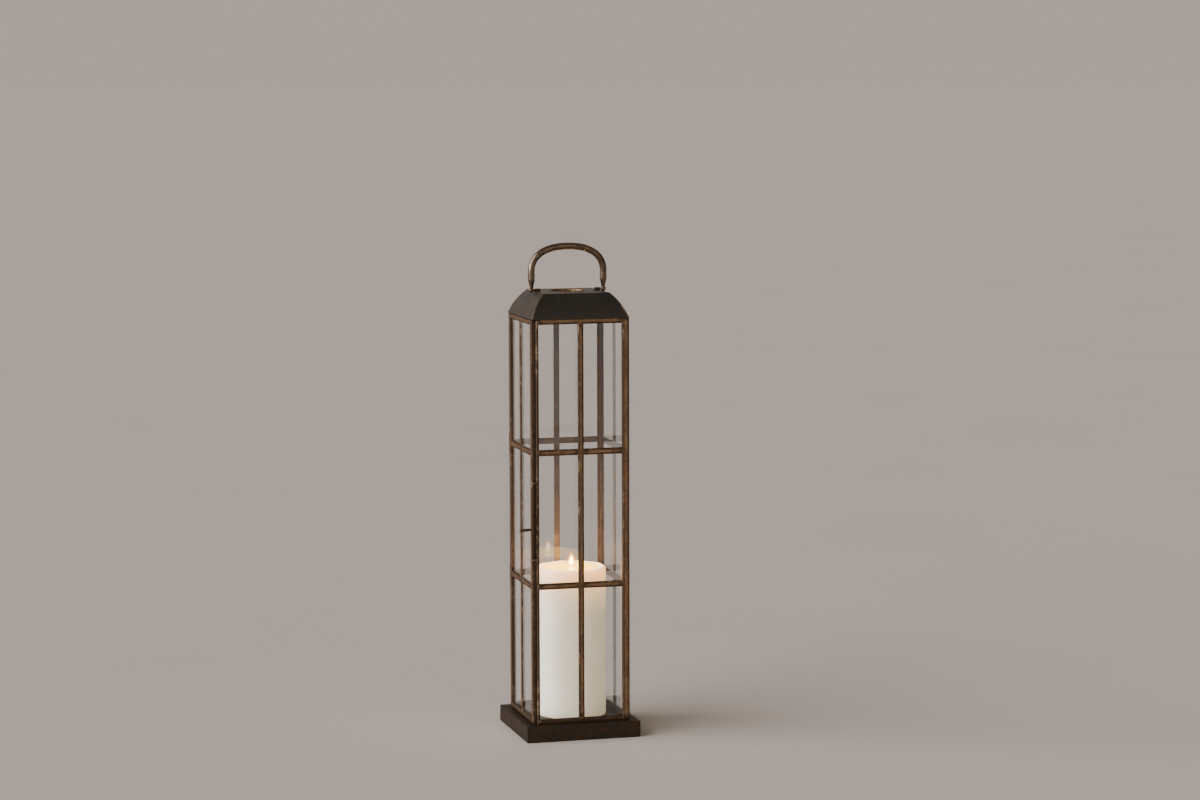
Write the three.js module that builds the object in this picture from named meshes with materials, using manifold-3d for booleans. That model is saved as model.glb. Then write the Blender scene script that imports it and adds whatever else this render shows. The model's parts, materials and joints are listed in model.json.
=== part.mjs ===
// A tall candle lantern: a glazed metal body on a square plinth, under a curved hip roof with a round vent.
// Its left face is a door, a bail handle turns on the roof, and a pillar candle stands inside.
//
// Millimetres, +Z up. The origin is the middle of the underside, +X runs along the front face to the right,
// and +Y runs from the front face to the back.

import * as THREE from "three";
import { mergeVertices } from "three/addons/utils/BufferGeometryUtils.js";
import Module from "manifold-3d";

// ---- Driving dimensions ----

const PLINTH = { side: 150, height: 21, sheet: 1.5 };

// The body is a square box of posts, rails and bars, measured from its middle to its outer faces.
const BODY = { half: 64, bottom: PLINTH.height, top: 541 };
const STRIP = { post: 9, bar: 8, mullion: 7.5, rail: 6.5, depth: 2.5, chamfer: 1.2 };
const LIP_HEIGHT = 4.5; // how high a rail stands behind the glass
const LOWER_BAR_Z = 199.3;
const UPPER_BAR_Z = 371.1;

const GLASS_THICKNESS = 2;
const GROOVE = { width: 2.6, clearance: 0.3, lip: 1.2, bottom: 57.2 };
const WEB = 1.4; // the part of a rail that carries the edge of the glass

// The door lies flush with the roof and shuts against stops on the two posts behind it.
const DOOR = { half: 61, bottom: 21.8, top: 540.3, skin: 1.7, lip: 1, chamfer: 0.8 };
const STOP = { face: 58.4, inner: 56.4, reach: 53, flange: 58.8, rebate: 61.6 };

// The hinges lie in the notch at the back left corner, between the end of the door and the post.
const HINGE = { x: -62.2, y: 63.4, pin: 0.65, bore: 0.9, barrel: 1.4, knuckle: 8, gap: 0.4 };
const POST_LEAF = { sheet: 0.8, end: -55.6, strap: -59.6 };
const DOOR_LEAF = { sheet: 0.6, end: -60.8, gap: 0.1 };
const HINGE_WEB = { half: 0.8, top: 62.4 }; // joins the middle knuckle to its leaf
const PIN_HEAD = { radius: 1.2, rim: 0.8, height: 1, gap: 0.3, tail: 0.8 };

const LATCH = { x: -64.5, y: -65.5, bottom: 231, top: 337, grip: 2.2, rod: 1.6, journal: 1.5 };
const SHOULDER = { end: 0.6, journal: 1, gripBelow: 4, gripStart: 2, gripEnd: 1.5 };
const LEVER = { z: 274, reach: 17, droop: 1.2, radius: 2 };
const EYE = { bore: 1.8, outer: 3, lower: 233, upper: 331, height: 4, armReach: 3, armDepth: 1.6 };

// The roof's profile is one arc from the eave to the edge of the flat top.
const ROOF = { eaveAngle: 70.5, topAngle: 42.5, topHalf: 43.5, top: 572, sheet: 1.2, seam: 0.1 };
const VENT_RADIUS = 22.5;
const TOP_PLATE = { half: 42.4, sheet: 1.1 };
const EAVE_FRAME = { outer: 61.8, inner: 52, sheet: 1.5 };

// The handle was fitted a little to the left of the middle.
const HANDLE = { x: -0.6, half: 47.7, springZ: 597, rise: 32.6, squareness: 2.3, rod: 4.4 };
const FOOT = { half: 47.5, z: 573.9, thickness: 4, eye: 3.1, taperTop: 587 };
const RIVET = { radius: 1, bore: 1.25, inner: 38, head: 2.4, headHeight: 1.2, rim: 1.9, rimHeight: 0.85 };
const LUG = { inner: 36, outer: 43.3, radius: 1.9, foot: 7, base: 1 };

const CANDLE = { x: 2.4, radius: 45, top: 215, foot: 1.5, shoulder: 4, pool: 35, poolZ: 213.4 };
const POOL_BANK = { width: 4, height: 0.8 };
const WICK = { radius: 0.8, bottom: 205, top: 218.5, gap: 0.3 };

const CUT = 1; // how far a cutting shape runs past the solid it cuts
const OVERLAP = 0.3; // how far two shapes that are joined run into each other

// ---- Materials ----

const metal = (color, roughness) => new THREE.MeshStandardMaterial({ color, roughness, metalness: 0.9 });

const MATERIALS = {
  darkMetal: metal(0x2c211a, 0.5),
  agedBrass: metal(0x6b4a2a, 0.45),
  handleBrass: metal(0x75603c, 0.35),
  blackWire: metal(0x1d1713, 0.5),
  glass: new THREE.MeshStandardMaterial({ color: 0xdfe6e4, roughness: 0.05, transparent: true, opacity: 0.3 }),
  wax: new THREE.MeshStandardMaterial({ color: 0xf1e8d8, roughness: 0.6 }),
  wick: new THREE.MeshStandardMaterial({ color: 0x2a2420, roughness: 0.9 }),
};

// ---- Solids ----

const wasm = await Module();
wasm.setup();

function solidFrom(geometry) {
  const bare = geometry.clone();
  bare.deleteAttribute("normal");
  bare.deleteAttribute("uv");
  const merged = mergeVertices(bare, 1e-4);
  const mesh = new wasm.Mesh({
    numProp: 3,
    vertProperties: new Float32Array(merged.attributes.position.array),
    triVerts: new Uint32Array(merged.index.array),
  });
  return new wasm.Manifold(mesh);
}

function geometryFrom(solid) {
  const mesh = solid.getMesh();
  const geometry = new THREE.BufferGeometry();
  geometry.setAttribute("position", new THREE.BufferAttribute(mesh.vertProperties, 3));
  geometry.setIndex(new THREE.BufferAttribute(mesh.triVerts, 1));
  geometry.computeVertexNormals();
  return geometry;
}

function cut(geometry, ...cutters) {
  const whole = solidFrom(geometry);
  return geometryFrom(cutters.reduce((left, cutter) => left.subtract(solidFrom(cutter)), whole));
}

function join(first, ...others) {
  const start = solidFrom(first);
  return geometryFrom(others.reduce((sum, other) => sum.add(solidFrom(other)), start));
}

function common(first, second) {
  return geometryFrom(solidFrom(first).intersect(solidFrom(second)));
}

// A box between two corners.
function block([x0, y0, z0], [x1, y1, z1]) {
  const box = new THREE.BoxGeometry(x1 - x0, y1 - y0, z1 - z0);
  return box.translate((x0 + x1) / 2, (y0 + y1) / 2, (z0 + z1) / 2);
}

// A plan outline of [x, y] points, raised from one height to another.
function prism(points, bottom, top) {
  const outline = new THREE.Shape(points.map(([x, y]) => new THREE.Vector2(x, y)));
  const solid = new THREE.ExtrudeGeometry(outline, { depth: top - bottom, bevelEnabled: false });
  return solid.translate(0, 0, bottom);
}

// A section of [y, z] points, drawn out along X.
function barAlongX(points, x0, x1) {
  return prism(points, 0, x1 - x0)
    .rotateX(Math.PI / 2)
    .rotateZ(Math.PI / 2)
    .translate(x0, 0, 0);
}

function rod(radius, z0, z1, sides = 24) {
  const cylinder = new THREE.CylinderGeometry(radius, radius, z1 - z0, sides);
  return cylinder.rotateX(Math.PI / 2).translate(0, 0, (z0 + z1) / 2);
}

function rodAlongX(radius, x0, x1, sides = 24) {
  const cylinder = new THREE.CylinderGeometry(radius, radius, x1 - x0, sides);
  return cylinder.rotateZ(Math.PI / 2).translate((x0 + x1) / 2, 0, 0);
}

// A profile of [radius, z] points turned about the Z axis.
function turned(points, segments) {
  const lathe = new THREE.LatheGeometry(points.map(([r, z]) => new THREE.Vector2(r, z)), segments);
  return lathe.rotateX(Math.PI / 2);
}

const lantern = new THREE.Group();

function piece(name, geometry, material, parent = lantern) {
  const mesh = new THREE.Mesh(geometry, material);
  mesh.name = name;
  parent.add(mesh);
  return mesh;
}

// ---- Plinth ----

function addPlinth() {
  const half = PLINTH.side / 2;
  const inside = half - PLINTH.sheet;
  const tray = block([-half, -half, 0], [half, half, PLINTH.height]);
  const hollow = block([-inside, -inside, -CUT], [inside, inside, PLINTH.height - PLINTH.sheet]);
  piece("plinth_tray", cut(tray, hollow), MATERIALS.darkMetal);
  const plate = block([-inside, -inside, 0], [inside, inside, PLINTH.sheet]);
  piece("base_plate", plate, MATERIALS.darkMetal);
}

// ---- Corner posts ----

// Distances from the middle to the faces of the strips and of the grooves behind them.
const SKIN_BACK = BODY.half - STRIP.depth;
const GROOVE_BACK = SKIN_BACK - GROOVE.width;
const LIP_BACK = GROOVE_BACK - GROOVE.lip;
const POST_EDGE = BODY.half - STRIP.post;

// Sections are drawn for the corner towards +X and +Y, then mirrored to the other corners.
function mirrored(points, signX, signY) {
  const flipped = points.map(([x, y]) => [x * signX, y * signY]);
  return signX * signY < 0 ? flipped.reverse() : flipped;
}

// The half of a post's section that belongs to one face: chamfered skin, glass groove and inner lip.
const GROOVED_LEG = [
  [POST_EDGE + STRIP.chamfer, BODY.half],
  [POST_EDGE, BODY.half - STRIP.chamfer],
  [POST_EDGE, SKIN_BACK],
  [GROOVE.bottom, SKIN_BACK],
  [GROOVE.bottom, GROOVE_BACK],
  [POST_EDGE, GROOVE_BACK],
  [POST_EDGE, LIP_BACK],
];

function cornerSection() {
  const corner = BODY.half - STRIP.chamfer;
  const otherLeg = GROOVED_LEG.map(([x, y]) => [y, x]).reverse();
  return [[corner, BODY.half], ...GROOVED_LEG, [LIP_BACK, LIP_BACK], ...otherLeg, [BODY.half, corner]];
}

function doorPostSection() {
  const corner = STOP.flange - STRIP.chamfer;
  return [
    [corner, BODY.half],
    ...GROOVED_LEG,
    [STOP.inner, LIP_BACK],
    [STOP.inner, STOP.reach],
    [STOP.face, STOP.reach],
    [STOP.face, STOP.rebate],
    [STOP.flange, STOP.rebate],
    [STOP.flange, BODY.half - STRIP.chamfer],
  ];
}

function addPosts() {
  const posts = [
    ["post_front_right", cornerSection(), 1, -1],
    ["post_back_right", cornerSection(), 1, 1],
    ["post_front_left", doorPostSection(), -1, -1],
    ["post_back_left", doorPostSection(), -1, 1],
  ];
  for (const [name, section, signX, signY] of posts) {
    const outline = mirrored(section, signX, signY);
    piece(name, prism(outline, BODY.bottom, BODY.top), MATERIALS.agedBrass);
  }
}

// ---- Glazed faces ----

// Every face is made facing the front, where a section's first number is the depth y, outwards negative.
// `face` holds the width between its uprights, its height, and how deep its strips, groove and lip are.
const FIXED_FACE = {
  half: POST_EDGE,
  bottom: BODY.bottom,
  top: BODY.top,
  skin: STRIP.depth,
  lip: GROOVE.lip,
  chamfer: STRIP.chamfer,
};
const DOOR_FACE = { ...FIXED_FACE, ...DOOR, half: DOOR.half - STRIP.post };

// A rail's section: a skin as high as the rail, the web under the glass, and a lower lip behind it.
function railSection(face, edge, away) {
  const front = -BODY.half;
  const skinBack = front + face.skin;
  const grooveBack = skinBack + GROOVE.width;
  const lipBack = grooveBack + face.lip;
  const points = [
    [front, edge],
    [lipBack, edge],
    [lipBack, edge + away * LIP_HEIGHT],
    [grooveBack, edge + away * LIP_HEIGHT],
    [grooveBack, edge + away * WEB],
    [skinBack, edge + away * WEB],
    [skinBack, edge + away * STRIP.rail],
    [front + face.chamfer, edge + away * STRIP.rail],
    [front, edge + away * (STRIP.rail - face.chamfer)],
  ];
  return away > 0 ? points : points.reverse();
}

// A flat strip with its two outer edges chamfered, `across` being its middle.
function stripSection(face, across, width) {
  const front = -BODY.half;
  const back = front + face.skin;
  const half = width / 2;
  return [
    [front, across - half + face.chamfer],
    [front + face.chamfer, across - half],
    [back, across - half],
    [back, across + half],
    [front + face.chamfer, across + half],
    [front, across + half - face.chamfer],
  ];
}

// The bars pass behind the mullion, each halved where they cross.
function barGeometry(face, z) {
  const bar = barAlongX(stripSection(face, z, STRIP.bar), -face.half, face.half);
  const reach = STRIP.mullion / 2 + GROOVE.clearance / 2;
  const halving = -BODY.half + face.skin / 2 + GROOVE.clearance / 2;
  const notch = block([-reach, -BODY.half - CUT, z - STRIP.bar], [reach, halving, z + STRIP.bar]);
  return cut(bar, notch);
}

function mullionGeometry(face) {
  const outline = stripSection(face, 0, STRIP.mullion).map(([depth, across]) => [across, depth]);
  const upright = prism(outline.reverse(), face.bottom + STRIP.rail, face.top - STRIP.rail);
  const halving = -BODY.half + face.skin / 2 - GROOVE.clearance / 2;
  const notches = [LOWER_BAR_Z, UPPER_BAR_Z].map((z) => {
    const reach = STRIP.bar / 2 + GROOVE.clearance / 2;
    const behind = -BODY.half + face.skin + CUT;
    return block([-STRIP.mullion, halving, z - reach], [STRIP.mullion, behind, z + reach]);
  });
  return cut(upright, ...notches);
}

function glassGeometry(face, half) {
  const front = -BODY.half + face.skin + GROOVE.clearance;
  const inset = WEB + GROOVE.clearance;
  const low = [-half, front, face.bottom + inset];
  return block(low, [half, front + GLASS_THICKNESS, face.top - inset]);
}

function addFace(prefix, face, glassHalf, turn) {
  const group = new THREE.Group();
  group.rotation.z = turn;
  lantern.add(group);
  const brass = MATERIALS.agedBrass;
  const lowRail = barAlongX(railSection(face, face.bottom, 1), -face.half, face.half);
  const highRail = barAlongX(railSection(face, face.top, -1), -face.half, face.half);
  piece(prefix + "_bottom_rail", lowRail, brass, group);
  piece(prefix + "_top_rail", highRail, brass, group);
  piece(prefix + "_lower_bar", barGeometry(face, LOWER_BAR_Z), brass, group);
  piece(prefix + "_upper_bar", barGeometry(face, UPPER_BAR_Z), brass, group);
  piece(prefix + "_mullion", mullionGeometry(face), brass, group);
  piece(prefix + "_glass", glassGeometry(face, glassHalf), MATERIALS.glass, group);
  return group;
}

const QUARTER = Math.PI / 2;
const LEFT_TURN = -QUARTER; // carries the front face round to the left

function addFixedFaces() {
  const glassHalf = GROOVE.bottom - GROOVE.clearance;
  addFace("front", FIXED_FACE, glassHalf, 0);
  addFace("right", FIXED_FACE, glassHalf, QUARTER);
  addFace("back", FIXED_FACE, glassHalf, 2 * QUARTER);
}

// ---- Door ----

// A stile is a channel on its side: skin outside, groove for the glass, and a thin inner lip.
function doorStile(side) {
  const front = -BODY.half;
  const skinBack = front + DOOR.skin;
  const grooveBack = skinBack + GROOVE.width;
  const lipBack = grooveBack + DOOR.lip;
  const inner = DOOR_FACE.half;
  const floor = inner + GROOVE.width;
  const points = [
    [inner, front + DOOR.chamfer],
    [inner + DOOR.chamfer, front],
    [DOOR.half - DOOR.chamfer, front],
    [DOOR.half, front + DOOR.chamfer],
    [DOOR.half, lipBack],
    [inner, lipBack],
    [inner, grooveBack],
    [floor, grooveBack],
    [floor, skinBack],
    [inner, skinBack],
  ];
  return prism(mirrored(points, side, 1), DOOR.bottom, DOOR.top);
}

function addDoor() {
  const glassHalf = DOOR_FACE.half + GROOVE.width - GROOVE.clearance;
  const group = addFace("door", DOOR_FACE, glassHalf, LEFT_TURN);
  piece("door_front_stile", doorStile(1), MATERIALS.agedBrass, group);
  piece("door_back_stile", doorStile(-1), MATERIALS.agedBrass, group);
}

// ---- Hinges ----

// One barrel segment about the hinge axis, joined to a block. The pin runs through all three segments.
function hingeKnuckle(z0, z1, low, high) {
  const barrel = rod(HINGE.barrel, z0, z1).translate(HINGE.x, HINGE.y, 0);
  const web = block([...low, z0], [...high, z1]);
  const bore = rod(HINGE.bore, z0 - CUT, z1 + CUT).translate(HINGE.x, HINGE.y, 0);
  return cut(join(barrel, web), bore);
}

function addHinge(name, z) {
  const inner = HINGE.knuckle / 2;
  const start = inner + HINGE.gap;
  const end = start + HINGE.knuckle;

  const back = BODY.half;
  const backLow = [HINGE.x, back];
  const backHigh = [POST_LEAF.end, back + POST_LEAF.sheet];
  const upper = hingeKnuckle(z + start, z + end, backLow, backHigh);
  const lower = hingeKnuckle(z - end, z - start, backLow, backHigh);
  const strap = block([POST_LEAF.strap, back, z - end], [...backHigh, z + end]);
  piece(`hinge_${name}_post_leaf`, join(upper, lower, strap), MATERIALS.agedBrass);

  const doorEnd = DOOR.half + DOOR_LEAF.gap;
  const plateTop = doorEnd + DOOR_LEAF.sheet;
  const plate = block([-BODY.half, doorEnd, z - end], [DOOR_LEAF.end, plateTop, z + end]);
  const webLow = [HINGE.x - HINGE_WEB.half, plateTop - OVERLAP];
  const knuckle = hingeKnuckle(z - inner, z + inner, webLow, [HINGE.x + HINGE_WEB.half, HINGE_WEB.top]);
  piece(`hinge_${name}_door_leaf`, join(knuckle, plate), MATERIALS.agedBrass);

  const { radius, rim, height, gap, tail } = PIN_HEAD;
  const seat = z + end + gap;
  const shaft = rod(HINGE.pin, z - end - tail, seat + OVERLAP);
  const head = turned([[0, seat], [radius, seat], [rim, seat + height], [0, seat + height]], 16);
  const pin = join(shaft, head).translate(HINGE.x, HINGE.y, 0);
  piece(`hinge_${name}_pin`, pin, MATERIALS.agedBrass);
}

// ---- Latch ----

// An upright rod, thicker where it is gripped, that turns in two eyes. Its lever droops a little.
function addLatch() {
  const { bottom, top, grip, rod: thin, journal } = LATCH;
  const eyeTop = EYE.lower + EYE.height;
  const profile = [
    [0, bottom],
    [journal, bottom + SHOULDER.end],
    [journal, eyeTop + SHOULDER.journal],
    [thin, eyeTop + 2 * SHOULDER.journal],
    [thin, LEVER.z - SHOULDER.gripBelow],
    [grip, LEVER.z - SHOULDER.gripStart],
    [grip, EYE.upper - SHOULDER.gripEnd],
    [journal, EYE.upper - SHOULDER.gripEnd / 2],
    [journal, top - SHOULDER.end],
    [0, top],
  ];
  const upright = turned(profile, 16);
  const tip = new THREE.Vector3(-LEVER.reach, 0, -LEVER.droop);
  const path = new THREE.QuadraticBezierCurve3(
    new THREE.Vector3(0, 0, 0),
    new THREE.Vector3(-LEVER.reach / 2, 0, 0),
    tip,
  );
  const section = new THREE.Shape().absarc(0, 0, LEVER.radius, 0, 2 * Math.PI);
  const options = { steps: 8, curveSegments: 6, bevelEnabled: false, extrudePath: path };
  const lever = new THREE.ExtrudeGeometry(section, options).translate(0, 0, LEVER.z);
  const latch = join(upright, lever).translate(LATCH.x, LATCH.y, 0);
  piece("latch_rod", latch, MATERIALS.blackWire);
}

// An eye on a short arm that reaches back to the flange of the front left post.
function addEye(name, z) {
  const top = z + EYE.height;
  const ring = rod(EYE.outer, z, top, 20).translate(LATCH.x, LATCH.y, 0);
  const armLow = [LATCH.x, -BODY.half - EYE.armDepth, z];
  const arm = block(armLow, [-STOP.flange + EYE.armReach, -BODY.half, top]);
  const bore = rod(EYE.bore, z - CUT, top + CUT, 20).translate(LATCH.x, LATCH.y, 0);
  piece("latch_eye_" + name, cut(join(ring, arm), bore), MATERIALS.agedBrass);
}

// ---- Roof ----

const radians = THREE.MathUtils.degToRad;

// The arc leaves the eave at one slope and reaches the flat top at another, which settles its radius
// and its centre.
function roofArc() {
  const eave = radians(90 - ROOF.eaveAngle);
  const crest = radians(90 - ROOF.topAngle);
  const run = BODY.half - ROOF.topHalf;
  const radius = run / (Math.cos(eave) - Math.cos(crest));
  const centreX = BODY.half - radius * Math.cos(eave);
  const centreZ = ROOF.top - radius * Math.sin(crest);
  return { eave, crest, radius, centreX, centreZ };
}

function roofSection() {
  const { crest, radius, centreX, centreZ } = roofArc();
  const inside = radius - ROOF.sheet;
  const angleAt = (r, z) => Math.asin((z - centreZ) / r);
  const steps = 14;
  const arc = (r, from, to) =>
    Array.from({ length: steps + 1 }, (_, i) => {
      const angle = from + ((to - from) * i) / steps;
      return [-(centreX + r * Math.cos(angle)), centreZ + r * Math.sin(angle)];
    });
  const outer = arc(radius, angleAt(radius, BODY.top), crest);
  const inner = arc(inside, crest, angleAt(inside, BODY.top));
  return [...outer, ...inner].reverse();
}

// The wedge that mitres a panel along the two hips beside it.
function mitreWedge() {
  const reach = BODY.half + 2 * CUT;
  const tip = -ROOF.seam * Math.SQRT2;
  return prism([[0, tip], [-reach, tip - reach], [reach, tip - reach]], BODY.top - CUT, ROOF.top + CUT);
}

function addRoof() {
  const names = ["roof_front", "roof_right", "roof_back", "roof_left"];
  names.forEach((name, i) => {
    const sheet = barAlongX(roofSection(), -BODY.half - CUT, BODY.half + CUT);
    const panel = piece(name, common(sheet, mitreWedge()), MATERIALS.darkMetal);
    panel.rotation.z = i * QUARTER;
  });

  const half = TOP_PLATE.half;
  const plate = block([-half, -half, ROOF.top - TOP_PLATE.sheet], [half, half, ROOF.top]);
  const vent = rod(VENT_RADIUS, ROOF.top - TOP_PLATE.sheet - CUT, ROOF.top + CUT, 48);
  piece("roof_top_plate", cut(plate, vent), MATERIALS.darkMetal);

  const { outer, inner, sheet } = EAVE_FRAME;
  const ring = block([-outer, -outer, BODY.top], [outer, outer, BODY.top + sheet]);
  const opening = block([-inner, -inner, BODY.top - CUT], [inner, inner, BODY.top + sheet + CUT]);
  piece("eave_frame", cut(ring, opening), MATERIALS.darkMetal);
}

// ---- Handle ----

// The bow of the handle: straight legs that run into half of a superellipse.
class Bow extends THREE.Curve {
  getPoint(t, target = new THREE.Vector3()) {
    const angle = Math.PI * (1 - t);
    const power = 2 / HANDLE.squareness;
    const across = Math.sign(Math.cos(angle)) * Math.abs(Math.cos(angle)) ** power;
    const up = Math.abs(Math.sin(angle)) ** power;
    return target.set(HANDLE.half * across, 0, HANDLE.springZ + HANDLE.rise * up);
  }
}

// The stretch where the round leg is beaten flat, from the full rod down to the strap above the eye.
function footTaper(side) {
  const bottom = FOOT.z + FOOT.eye;
  const middle = (bottom + FOOT.taperTop) / 2;
  const taper = rod(HANDLE.rod, bottom, FOOT.taperTop, 16);
  const position = taper.getAttribute("position");
  for (let i = 0; i < position.count; i++) {
    const low = position.getZ(i) < middle;
    const flatten = low ? FOOT.thickness / 2 / HANDLE.rod : 1;
    const narrow = low ? FOOT.eye / HANDLE.rod : 1;
    const centre = side * (low ? FOOT.half : HANDLE.half);
    position.setXYZ(i, centre + position.getX(i) * flatten, position.getY(i) * narrow, position.getZ(i));
  }
  return taper;
}

// The flat foot: a strap that ends in a round eye for the rivet.
function footEye(side) {
  const half = FOOT.thickness / 2;
  const strap = block([-half, -FOOT.eye, FOOT.z], [half, FOOT.eye, FOOT.z + FOOT.eye + OVERLAP]);
  const eye = rodAlongX(FOOT.eye, -half, half).translate(0, 0, FOOT.z);
  const bore = rodAlongX(RIVET.bore, -HANDLE.rod, HANDLE.rod).translate(0, 0, FOOT.z);
  return cut(join(strap, eye), bore).translate(side * FOOT.half, 0, 0);
}

function addHandle() {
  const section = new THREE.Shape().absarc(0, 0, HANDLE.rod, 0, 2 * Math.PI);
  const options = { steps: 40, curveSegments: 8, bevelEnabled: false, extrudePath: new Bow() };
  const bow = new THREE.ExtrudeGeometry(section, options);
  const parts = [-1, 1].flatMap((side) => [
    rod(HANDLE.rod, FOOT.taperTop, HANDLE.springZ + OVERLAP, 16).translate(side * HANDLE.half, 0, 0),
    footTaper(side),
    footEye(side),
  ]);
  const handle = join(bow, ...parts);
  piece("handle", handle.translate(HANDLE.x, 0, 0), MATERIALS.handleBrass);
  addHandleFixings("left", -1);
  addHandleFixings("right", 1);
}

function addHandleFixings(name, side) {
  const group = new THREE.Group();
  group.position.set(HANDLE.x, 0, 0);
  group.scale.x = side;
  lantern.add(group);

  const base = block([LUG.inner, -LUG.foot / 2, ROOF.top], [LUG.outer, LUG.foot / 2, ROOF.top + LUG.base]);
  const saddle = block([LUG.inner, -LUG.radius, ROOF.top], [LUG.outer, LUG.radius, FOOT.z]);
  const crown = rodAlongX(LUG.radius, LUG.inner, LUG.outer).translate(0, 0, FOOT.z);
  const bore = rodAlongX(RIVET.bore, RIVET.inner - GROOVE.clearance, LUG.outer + CUT).translate(0, 0, FOOT.z);
  piece("handle_lug_" + name, cut(join(base, saddle, crown), bore), MATERIALS.darkMetal, group);

  const outside = FOOT.half + FOOT.thickness / 2 + GROOVE.clearance;
  const shaft = rodAlongX(RIVET.radius, RIVET.inner, outside, 16);
  const dome = [[0, 0], [RIVET.head, 0], [RIVET.rim, RIVET.rimHeight], [0, RIVET.headHeight]];
  const head = turned(dome, 16).rotateY(Math.PI / 2).translate(outside, 0, 0);
  const rivet = join(shaft, head).translate(0, 0, FOOT.z);
  piece("handle_rivet_" + name, rivet, MATERIALS.handleBrass, group);
}

// ---- Candle ----

// A pillar with a rounded shoulder and a shallow pool, and a narrow well that the wick stands in.
function addCandle() {
  const { radius, top, foot, shoulder, pool, poolZ } = CANDLE;
  const well = WICK.radius + WICK.gap;
  const wellBottom = WICK.bottom - WICK.gap;
  const shoulderPoints = Array.from({ length: 6 }, (_, i) => {
    const angle = (i / 5) * QUARTER;
    return [radius - shoulder * (1 - Math.cos(angle)), top - shoulder * (1 - Math.sin(angle))];
  });
  const profile = [
    [0, PLINTH.height],
    [radius - foot, PLINTH.height],
    [radius, PLINTH.height + foot],
    ...shoulderPoints,
    [pool + POOL_BANK.width, poolZ + POOL_BANK.height],
    [pool, poolZ],
    [well, poolZ],
    [well, wellBottom],
    [0, wellBottom],
  ];
  piece("candle", turned(profile, 48).translate(CANDLE.x, 0, 0), MATERIALS.wax);
  const wick = rod(WICK.radius, WICK.bottom, WICK.top, 10).translate(CANDLE.x, 0, 0);
  piece("candle_wick", wick, MATERIALS.wick);
}

addPlinth();
addPosts();
addFixedFaces();
addDoor();
addHinge("upper", UPPER_BAR_Z);
addHinge("lower", LOWER_BAR_Z);
addLatch();
addEye("upper", EYE.upper);
addEye("lower", EYE.lower);
addRoof();
addHandle();
addCandle();

export default lantern;
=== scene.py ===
# The looks of a tall candle lantern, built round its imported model: worn brass strips, soldered joints,
# old glass, a dark curved roof, and a lit pillar candle.
#
# Shapes are worked out in millimetres in the model's own frame, +Z up and -Y to the front, and turned into
# metres when each piece is made.
import json
import math

import bmesh
import bpy
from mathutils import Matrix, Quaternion, Vector, kdtree, noise


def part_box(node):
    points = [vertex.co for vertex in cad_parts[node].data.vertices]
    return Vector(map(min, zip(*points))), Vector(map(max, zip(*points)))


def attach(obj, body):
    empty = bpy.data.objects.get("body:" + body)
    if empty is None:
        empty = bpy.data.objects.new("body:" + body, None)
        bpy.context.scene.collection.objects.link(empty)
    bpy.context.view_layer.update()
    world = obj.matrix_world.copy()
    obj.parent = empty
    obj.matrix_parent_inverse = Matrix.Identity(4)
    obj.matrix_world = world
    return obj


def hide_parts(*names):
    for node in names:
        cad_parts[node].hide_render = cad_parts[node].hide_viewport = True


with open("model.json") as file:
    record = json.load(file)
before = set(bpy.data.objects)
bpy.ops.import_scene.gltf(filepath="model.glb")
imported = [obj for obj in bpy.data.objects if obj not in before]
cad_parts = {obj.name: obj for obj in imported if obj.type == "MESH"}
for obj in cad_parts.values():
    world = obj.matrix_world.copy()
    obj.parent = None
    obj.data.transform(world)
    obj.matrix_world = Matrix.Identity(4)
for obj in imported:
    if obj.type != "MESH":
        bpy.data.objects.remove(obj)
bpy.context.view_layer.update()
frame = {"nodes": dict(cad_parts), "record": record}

MM = 0.001
UP = Vector((0, 0, 1))


def span(node):
    """The lowest and highest corners of a CAD node, in millimetres."""
    low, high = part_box(node)
    return low / MM, high / MM


BODY_OF = {node: body for body, nodes in frame["record"]["behaviour"]["bodies"].items() for node in nodes}

# ---- Driving dimensions, in millimetres and degrees ----

BODY_HALF = span("post_front_right")[1].x
BODY_BOTTOM = span("post_front_right")[0].z
BODY_TOP = span("post_front_right")[1].z
POST_WIDTH = 9
DOOR_INSET = 3  # how far each end of the door lies inside the body's corner
BAR_Z = [sum(corner.z for corner in span(node)) / 2 for node in ("front_lower_bar", "front_upper_bar")]
RAIL_HEIGHT = span("front_bottom_rail")[1].z - BODY_BOTTOM

PLINTH_HALF = span("plinth_tray")[1].x
PLINTH_TOP = span("plinth_tray")[1].z

# The roof's arc, from the eave to the edge of the flat top.
EAVE_ANGLE = 70.5
CREST_ANGLE = 42.5
TOP_HALF = 43.5
ROOF_SHEET = 1.2
ROOF_SEAM = 0.1
TOP_SHEET = 1.1
HIP_BEAD = 0.95
HIP_BEAD_DEPTH = 0.75
CREST_BEAD = 0.6
VENT_RADIUS = 22.5
VENT_LIP = {"rise": 0.7, "width": 2.2}
COLLAR = {"depth": 4, "top": 0.75, "shoulder": 0.5, "gap": 0.05, "wall": 0.6, "round": 0.15}

# The handle: a rod beaten flat at each foot, round an eye for the rivet.
HANDLE_SQUARENESS = 2.3
SPRING_Z = 597
TAPER_TOP = 587
FOOT_THICKNESS = 4
FOOT_EYE = 3.1
FOOT_HALF = 47.5
EYE_BORE = 1.25
EYE_MARGIN = 0.4  # how far above its bore the rod runs into the eye
RIVET_RADIUS = 1
RIVET_HEAD = 2.4
RIVET_RISE = 1.2

LATCH_EYE = 3
LATCH_GRIP = 2.2
LATCH_ROD = 1.6
LATCH_JOURNAL = 1.5
LEVER_Z = 274
LEVER_REACH = 17
LEVER_DROOP = 1.2
LEVER_RADIUS = 2

POOL_RADIUS = 35
POOL_Z = 213.9
POOL_DEPTH = 0.9
WELL_DEPTH = 1.1
SHOULDER = 4
WICK_RADIUS = 0.8
FLAME_BOTTOM = 214.6
FLAME_TOP = 230
FLAME_RADIUS = 4.2

# ---- Working the metal ----

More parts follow.
